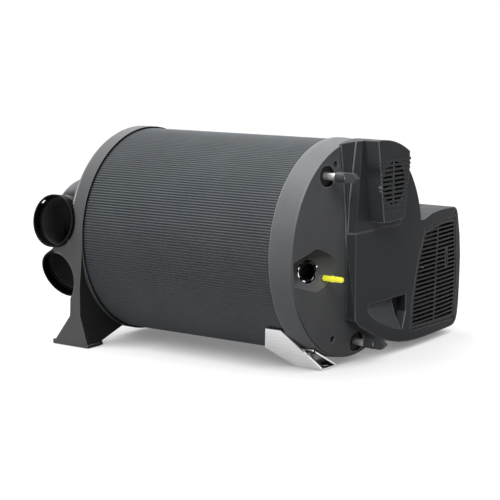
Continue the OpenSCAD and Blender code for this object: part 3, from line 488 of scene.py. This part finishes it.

# Air distributor. A flat cover with a round bulge, in the same plastic, screwed to the ring, with
# a collar for each warm-air duct. Its flat near end is lightened, a painted light, and sheltered
# places are darkened nearly black, a painted shade.
dish_grey = moulded_plastic("dish_grey", (0.150, 0.152, 0.156), rough=0.55, grain=0.0009,
                            edge=0.0018, spec=0.15, crevice=0.08, shade_darkest=0.02, shelter=(0.32, 0.75))
# painted light: the flat end turned to the near side is lightened
paint_light_by_facing(dish_grey, "Y", start=-0.8, full=-0.98, factor=3.4)
dress(dish_grey, "air_distributor")

# Duct sockets. Short black sleeves pushed into the collars, with a stop inside for the duct and
# two windows for its latches.
socket_black = moulded_plastic("socket_black", (0.0045, 0.0045, 0.005), rough=0.5, edge=0.0008,
                               edge_light=0.9, spec=0.05)
dress(socket_black, "outlet_spigot_front_upper", "outlet_spigot_front_lower",
      "outlet_spigot_rear_upper", "outlet_spigot_rear_lower")

# Screws. Pan heads with a cross recess, made by one node tree and set where each screw of the
# frame is. Plated ones hold the distributor and the fan's back plate, black ones the rest.
screw_zinc = plated_can("screw_zinc", (0.58, 0.59, 0.60), rough=0.28)
screw_black = drawn_metal("screw_black", (0.045, 0.045, 0.048), rough=0.38,
                          stretch=(700, 700, 700))
head_points, shank_points = 24, 12
crown_share, crown_top = 0.35, 0.72
recess_length, recess_width, recess_turn = 1.15, 0.26, 0.3
shank_start = 0.98

tree = screw_tree = geometry_tree("cross_head_screws")
group_socket(tree, "Geometry", kind="NodeSocketGeometry")
head_radius = group_socket(tree, "Head radius", 0.003)
head_height = group_socket(tree, "Head height", 0.0022)
shank_radius = group_socket(tree, "Shank radius", 0.0016)
shank_length = group_socket(tree, "Shank length", 0.008)
head_turn = group_socket(tree, "Turn", (0, 0, 0), "NodeSocketVector")
head_finish = group_socket(tree, "Finish", kind="NodeSocketMaterial")
sizes = tree.nodes.new("NodeGroupInput").outputs


def vector_of(tree, x, y, z):
    return feed(tree, tree.nodes.new("ShaderNodeCombineXYZ"), (x, y, z))


def moved(tree, mesh, height, spin=0.0):
    shift = add_node(tree, "GeometryNodeTransform", Rotation=(0, 0, spin))
    join_up(tree, (mesh, shift.inputs["Geometry"]),
            (vector_of(tree, 0, 0, height), shift.inputs["Translation"]))
    return shift.outputs[0]


head_r, head_h = sizes["Head radius"], sizes["Head height"]
head = add_node(tree, "GeometryNodeMeshCylinder", Vertices=head_points)
crown = add_node(tree, "GeometryNodeMeshCone", Vertices=head_points)
shank = add_node(tree, "GeometryNodeMeshCylinder", Vertices=shank_points)
bar = tree.nodes.new("GeometryNodeMeshCube")
bar_size = vector_of(tree, maths(tree, "MULTIPLY", head_r, recess_length),
                     maths(tree, "MULTIPLY", head_r, recess_width), head_h)
join_up(tree, (head_r, head.inputs["Radius"]), (head_r, crown.inputs["Radius Bottom"]),
        (maths(tree, "MULTIPLY", head_r, crown_top), crown.inputs["Radius Top"]),
        (maths(tree, "MULTIPLY", head_h, crown_share), crown.inputs["Depth"]),
        (maths(tree, "MULTIPLY", head_h, 1 - crown_share), head.inputs["Depth"]),
        (sizes["Shank radius"], shank.inputs["Radius"]),
        (sizes["Shank length"], shank.inputs["Depth"]), (bar_size, bar.inputs["Size"]))
head_middle = maths(tree, "MULTIPLY", head_h, -(1 + crown_share) / 2)
crown_foot = maths(tree, "MULTIPLY", head_h, -crown_share)
shank_top = maths(tree, "MULTIPLY", head_h, -shank_start)
shank_middle = maths(tree, "MULTIPLY_ADD", sizes["Shank length"], -0.5, shank_top)
one_head = tree.nodes.new("GeometryNodeMeshBoolean")
one_head.operation = "UNION"
recess = tree.nodes.new("GeometryNodeMeshBoolean")
recess.operation = "DIFFERENCE"
join_up(tree, (moved(tree, head.outputs["Mesh"], head_middle), one_head.inputs["Mesh 2"]),
        (moved(tree, crown.outputs["Mesh"], crown_foot), one_head.inputs["Mesh 2"]),
        (one_head.outputs["Mesh"], recess.inputs["Mesh 1"]),
        (moved(tree, bar.outputs["Mesh"], 0, recess_turn), recess.inputs["Mesh 2"]),
        (moved(tree, bar.outputs["Mesh"], 0, recess_turn + quarter), recess.inputs["Mesh 2"]))
screw = tree.nodes.new("GeometryNodeJoinGeometry")
set_out = tree.nodes.new("GeometryNodeInstanceOnPoints")
join_up(tree, (recess.outputs["Mesh"], screw.inputs[0]),
        (moved(tree, shank.outputs["Mesh"], shank_middle), screw.inputs[0]),
        (sizes["Geometry"], set_out.inputs["Points"]),
        (screw.outputs[0], set_out.inputs["Instance"]),
        (sizes["Turn"], set_out.inputs["Rotation"]))
join_up(tree, (sizes["Finish"], end_tree(tree, set_out.outputs[0])))


def screw_tops(name, outward):
    # the middle of each loose screw's outer face, found in the frame's own mesh
    same_point, same_face = 1e-6, 1e-5
    work = bmesh.new()
    work.from_mesh(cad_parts[name].data)
    bmesh.ops.remove_doubles(work, verts=work.verts, dist=same_point)
    waiting, tops = set(work.verts), []
    while waiting:
        group, edge = set(), [waiting.pop()]
        while edge:
            vert = edge.pop()
            group.add(vert)
            for link in vert.link_edges:
                other = link.other_vert(vert)
                if other in waiting:
                    waiting.discard(other)
                    edge.append(other)
        far = max(v.co.dot(outward) for v in group)
        rim = [v.co for v in group if far - v.co.dot(outward) < same_face]
        low, high = (Vector([pick(c[i] for c in rim) for i in range(3)]) for pick in (min, max))
        tops.append(tuple((low + high) / 2))
    work.free()
    return sorted(tops)


def set_screws(piece_name, node, outward, turn, radius, height, thread, length, mat):
    piece = made_by_nodes(piece_name, screw_tree, {
        head_radius: radius, head_height: height, shank_radius: thread, shank_length: length,
        head_turn: turn, head_finish: mat}, screw_tops(node, Vector(outward)))
    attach(piece, "case")
    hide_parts(node)


foot_lean = math.radians(150)
to_outlets = ((-1, 0, 0), (0, -quarter, 0))
to_front = ((1, 0, 0), (0, quarter, 0))
to_foot = ((0, -math.sin(foot_lean), math.cos(foot_lean)), (foot_lean, 0, 0))
set_screws("distributor_cross_screws", "distributor_screws", *to_outlets, radius=0.0032,
           height=0.0025, thread=0.0016, length=0.009, mat=screw_zinc)
set_screws("fan_back_cross_screws", "fan_back_screws", *to_outlets, radius=0.0030,
           height=0.0022, thread=0.0015, length=0.0075, mat=screw_zinc)
set_screws("foot_cross_screws", "foot_screws", *to_foot, radius=0.0030,
           height=0.0020, thread=0.0016, length=0.0085, mat=screw_black)
set_screws("housing_cross_screws", "housing_screws", *to_front, radius=0.0030,
           height=0.0024, thread=0.0016, length=0.0092, mat=screw_black)
set_screws("end_cover_cross_screws", "end_cover_screws", *to_front, radius=0.0028,
           height=0.0024, thread=0.0016, length=0.0052, mat=screw_black)

# End cover. A moulded cup over the connection end, with a domed face, a scooped recess for the
# exhaust, holes for the pipes and two screw wells. The scoop's walls carry painted light where they
# face up and painted shade where they face down; the face and the band round it keep one tone.
cover_grey = moulded_plastic("end_cover_grey", (0.150, 0.154, 0.160), rough=0.52, edge=0.0014,
                             edge_light=0.6, spec=0.12, highlight_gain=2.8)
scoop_painted_light = 0.6
tree = cover_grey.node_tree
cover_colour = tree.nodes["Principled BSDF"].inputs["Base Color"]
turned = normal_axes(tree)
# painted light on the scoop's upward faces, painted shade on its downward ones
scoop_light_and_shade = map_range(tree, turned["Z"], -0.5, 0.5, -scoop_painted_light, scoop_painted_light)
off_face = map_range(tree, turned["X"], 0.93, 0.80)
off_band = map_range(tree, turned["X"], 0.22, 0.34)
in_scoop = maths(tree, "MULTIPLY", off_face, off_band)
scale_colour(tree, cover_colour.links[0].from_socket,
             maths(tree, "MULTIPLY_ADD", scoop_light_and_shade, in_scoop, 1.0), cover_colour)
dress(cover_grey, "end_cover")

# Pipes. Drawn stainless tubes for hot and cold water and a thinner one for fuel. The water pipes
# pass through soft rubber grommets in the end cover.
dress(drawn_metal("water_pipe_steel", (0.95, 0.95, 0.94), rough=0.30, stretch=(30, 1200, 1200),
                  metallic=0.55), "hot_water_pipe", "cold_water_pipe")
dress(drawn_metal("fuel_pipe_steel", (0.90, 0.90, 0.89), rough=0.30, stretch=(30, 1500, 1500)),
      "fuel_pipe")
rubber, tree, skin = finish("grommet_rubber", Specular_IOR_Level=0.25)
bloom = noise_on(tree, 60.0, 4.0)
pores = noise_on(tree, 1600.0, 2.0)
tones(tree, bloom, [(0.3, (0.010, 0.010, 0.010)), (0.75, (0.022, 0.022, 0.022))],
      skin.inputs["Base Color"])
gloss_range(tree, pores, 0.65, 0.85, skin.inputs["Roughness"])
relief(tree, pores, 0.0001, skin.inputs["Normal"])
dress(rubber, "hot_pipe_grommet", "cold_pipe_grommet")

# Caps. Push-on transport caps: soft grey ones with a flat blade on the water pipes, and one in
# fluorescent yellow on the fuel pipe, brightened by a weak painted glow. Each is pulled off along
# its pipe.
dress(moulded_plastic("water_cap_grey", (0.062, 0.065, 0.070), rough=0.5, edge=0.0009, spec=0.2),
      "hot_pipe_cap", "cold_pipe_cap")
cap_yellow = moulded_plastic("fuel_cap_yellow", (0.95, 0.90, 0.05), rough=0.38, grain=0.0015,
                             edge=0.0006, edge_light=0.2)
# painted glow: the yellow cap gives off a little light of its own colour
painted_glow = cap_yellow.node_tree.nodes["Principled BSDF"].inputs
painted_glow["Emission Color"].default_value = (0.95, 0.90, 0.06, 1)
painted_glow["Emission Strength"].default_value = 0.5
dress(cap_yellow, "fuel_pipe_cap")

# Exhaust port. A dark sooted steel stub at the bottom of the scoop, with a blued spring clip, worn
# bare in patches, that holds the exhaust duct.
soot, tree, skin = finish("port_sooted_steel", Metallic=1.0)
smoke = noise_on(tree, 220.0, 5.0)
tones(tree, smoke, [(0.35, (0.004, 0.004, 0.004)), (0.75, (0.016, 0.016, 0.016))],
      skin.inputs["Base Color"])
gloss_range(tree, smoke, 0.35, 0.6, skin.inputs["Roughness"])
dress(soot, "exhaust_port")
clip_steel, tree, skin = finish("clip_blued_steel", Metallic=1.0)
bare = noise_on(tree, 130.0, 1.0)
tones(tree, bare, [(0.52, (0.012, 0.012, 0.014)), (0.60, (0.95, 0.95, 0.95))],
      skin.inputs["Base Color"])
gloss_range(tree, bare, 0.24, 0.12, skin.inputs["Roughness"])
dress(clip_steel, "exhaust_clip")

# Fan housing. The lower front box and its bulge beside the barrel, one dark grey moulding with a
# grip recess. It is pushed over the end cover and held by two corner screws. Faces that lean back
# as little as the recess's floor does carry painted light, and steeper ones do not.
box_grey = moulded_plastic("box_grey", (0.056, 0.059, 0.063), rough=0.50, edge=0.0020,
                           edge_light=0.9, spec=0.08, highlight_gain=5.0, crevice=0.002, shade_darkest=0.3,
                           soft=0.0022)
grip_painted_light = 2.5
# painted light: faces leaning back like the recess's floor are lightened, steeper upward ones are
# not
paint_light_by_facing(box_grey, "Z", start=0.08, full=0.19, factor=grip_painted_light)
paint_light_by_facing(box_grey, "Z", start=0.35, full=0.60, factor=1 / grip_painted_light)
dress(box_grey, "fan_housing")

# Circulation fan. A back plate with the motor can, a black scroll, and a black drum wheel on a
# ground shaft, all behind the intake grille.
dress(moulded_plastic("back_plate_grey", (0.075, 0.077, 0.080), rough=0.55, spec=0.15),
      "fan_back_plate")
dress(glass_filled("scroll_black", (0.013, 0.013, 0.014), rough=0.5), "fan_scroll")
dress(plated_can("fan_motor_zinc", (0.58, 0.59, 0.61), rough=0.34), "fan_motor")
dress(ground_shaft("fan_shaft_steel"), "fan_shaft")
dress(glass_filled("fan_wheel_black", (0.020, 0.020, 0.021), rough=0.45), "fan_impeller")

# Electronics. A green circuit board on four posts in the tray, with black components, copper
# tracks under the varnish, and a cream terminal block.
board_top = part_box("control_board")[0].x + 0.0018
board, tree, skin = finish("board_varnish", Specular_IOR_Level=0.5)
tracks = add_node(tree, "ShaderNodeTexBrick", Scale=140.0, Mortar_Size=0.05)
tracks.inputs["Color1"].default_value = (0.004, 0.050, 0.018, 1)
tracks.inputs["Color2"].default_value = (0.006, 0.062, 0.022, 1)
tracks.inputs["Mortar"].default_value = (0.030, 0.120, 0.040, 1)
spin = add_node(tree, "ShaderNodeMapping", Rotation=(0, quarter, 0))
place = object_place(tree)
on_top = maths(tree, "GREATER_THAN", axes_of(tree, place)["X"], board_top)
varnish, board_colour = mix_into(tree, on_top, (0.014, 0.014, 0.015))
join_up(tree, (place, spin.inputs["Vector"]), (spin.outputs[0], tracks.inputs["Vector"]),
        (tracks.outputs["Color"], varnish), (board_colour, skin.inputs["Base Color"]))
gloss_range(tree, noise_on(tree, 900.0, 2.0), 0.22, 0.36, skin.inputs["Roughness"])
dress(board, "control_board")
dress(moulded_plastic("terminal_cream", (0.62, 0.58, 0.45), rough=0.45, edge=0.0004,
                      edge_light=0.2), "terminal_block")

# Electronics cover. A dark grey lid over the board, with a raised panel and a round louvre. Shallow
# ribs run across the panel between the louvre's slots. It lifts off towards the front.
lid_grey = moulded_plastic("lid_grey", (0.060, 0.063, 0.067), rough=0.50, edge=0.0018,
                           edge_light=0.9, spec=0.08, highlight_gain=5.0, crevice=0.002, shade_darkest=0.75,
                           soft=0.0022)
dress(lid_grey, "electronics_cover")
rib_grey = moulded_plastic("lid_rib_grey", (0.064, 0.067, 0.071), rough=0.50, edge=0.0004, spec=0.1)
lid_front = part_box("electronics_cover")[1].x

tree = geometry_tree("panel_ribs")
rib_number = group_socket(tree, "Ribs", 12, "NodeSocketInt")
rib_pitch = group_socket(tree, "Pitch", 0.006)
rib_first = group_socket(tree, "Lowest rib", 0.2)
rib_height = group_socket(tree, "Rib height", 0.0006)
rib_width = group_socket(tree, "Rib width", 0.003)
panel_front = group_socket(tree, "Panel front", 0.434)
left_at = group_socket(tree, "Left edge", 0.0)
left_lean = group_socket(tree, "Left lean", 0.0)
right_at = group_socket(tree, "Right edge", 0.06)
right_lean = group_socket(tree, "Right lean", 0.0)
sizes = tree.nodes.new("NodeGroupInput").outputs
row = tree.nodes.new("GeometryNodeMeshLine")
row_start = vector_of(tree, sizes["Panel front"], 0, sizes["Lowest rib"])
row_step = vector_of(tree, 0, 0, sizes["Pitch"])
height = axes_of(tree, tree.nodes.new("GeometryNodeInputPosition").outputs[0])["Z"]
left = maths(tree, "MULTIPLY_ADD", height, sizes["Left lean"], sizes["Left edge"])
right = maths(tree, "MULTIPLY_ADD", height, sizes["Right lean"], sizes["Right edge"])
middle = vector_of(tree, 0, maths(tree, "MULTIPLY", maths(tree, "ADD", left, right), 0.5), 0)
bar_size = vector_of(tree, maths(tree, "MULTIPLY", sizes["Rib height"], 2.0),
                     maths(tree, "SUBTRACT", right, left), sizes["Rib width"])
centred = tree.nodes.new("GeometryNodeSetPosition")
bar = tree.nodes.new("GeometryNodeMeshCube")
set_out = tree.nodes.new("GeometryNodeInstanceOnPoints")
join_up(tree, (sizes["Ribs"], row.inputs["Count"]), (row_start, row.inputs["Start Location"]),
        (row_step, row.inputs["Offset"]), (row.outputs[0], centred.inputs["Geometry"]),
        (middle, centred.inputs["Offset"]), (centred.outputs[0], set_out.inputs["Points"]),
        (bar.outputs["Mesh"], set_out.inputs["Instance"]), (bar_size, set_out.inputs["Scale"]))
end_tree(tree, set_out.outputs[0]).default_value = rib_grey


def leaning_edge(foot_y, top_y, foot_over_axis, rise):
    # where a side of the panel would meet height 0, and how far it moves per metre of height
    lean = (top_y - foot_y) / rise
    return foot_y - lean * (axis_h + foot_over_axis), lean


left_side = leaning_edge(0.009, -0.008, foot_over_axis=0.037, rise=0.115)
right_side = leaning_edge(0.0595, 0.0725, foot_over_axis=0.038, rise=0.068)
panel_ribs = made_by_nodes("panel_ribs", tree, {
    rib_number: 12, rib_pitch: 0.006, rib_first: axis_h + 0.052, rib_height: 0.0005,
    rib_width: 0.0030, panel_front: lid_front, left_at: left_side[0], left_lean: left_side[1],
    right_at: right_side[0], right_lean: right_side[1]})
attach(panel_ribs, "cover")

# Intake grille. A black slatted moulding that snaps into the box front, with a divider across its
# slats and a latch. It pulls off towards the front.
dress(moulded_plastic("grille_black", (0.056, 0.059, 0.062), rough=0.48, edge=0.0006,
                      edge_light=0.6, spec=0.1, highlight_gain=2.4, shade_darkest=0.15), "intake_grille")

# Metal foot. A folded bright steel foot under the connection end, screwed to the band, with two
# holes for the floor screws.
dress(drawn_metal("foot_steel", (0.97, 0.97, 0.98), rough=0.16, stretch=(20, 500, 500),
                  blotch=12.0), "metal_foot")
